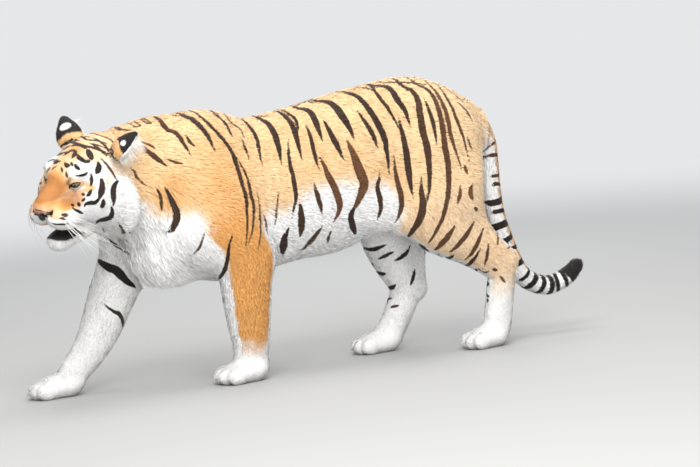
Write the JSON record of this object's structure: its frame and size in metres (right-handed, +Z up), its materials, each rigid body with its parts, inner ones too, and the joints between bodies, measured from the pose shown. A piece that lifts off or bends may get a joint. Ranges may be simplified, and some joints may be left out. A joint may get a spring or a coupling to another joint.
{
  "type": "tiger",
  "caption": "Life-size striped tiger caught mid-walk with its head low and turned to its left and its tail hanging in an upward curl.",
  "frame": {"origin": "On the ground under the middle of the animal's overall box, as it stands.", "axes": "+Z up; the animal walks and its body points along -Y, its tail is towards +Y, and its left side is +X."},
  "size_m": [0.4773, 2.115, 0.9883],
  "materials": {
    "coat_orange": "deep orange fur with dark stripes",
    "coat_pale": "pale buff fur with small dark bars",
    "coat_white": "long white fur",
    "coat_tail": "orange above, white below, dark rings",
    "coat_ear": "black fur with a white spot",
    "coat_head": "short orange and white fur with black marks",
    "nose_skin": "bare pinkish skin, dark at its edges",
    "eye_gloss": "wet, dull yellow-brown iris and dark pupil"
  },
  "bodies": {
    "root": {"trunk": "coat_orange", "neck": "coat_orange", "head": "coat_head", "lower_jaw": "coat_white", "nose": "nose_skin", "ear_left": "coat_ear", "ear_right": "coat_ear", "eye_left": "eye_gloss", "eye_right": "eye_gloss", "foreleg_left_upper": "coat_orange", "foreleg_left_lower": "coat_pale", "forepaw_left": "coat_white", "foreleg_right_upper": "coat_white", "foreleg_right_lower": "coat_white", "forepaw_right": "coat_white", "hindleg_left_upper": "coat_orange", "hindleg_left_lower": "coat_pale", "hindpaw_left": "coat_white", "hindleg_right_upper": "coat_orange", "hindleg_right_lower": "coat_pale", "hindpaw_right": "coat_white", "tail_base": "coat_tail", "tail_middle": "coat_tail", "tail_tip": "coat_tail"}
  },
  "joints": []
}
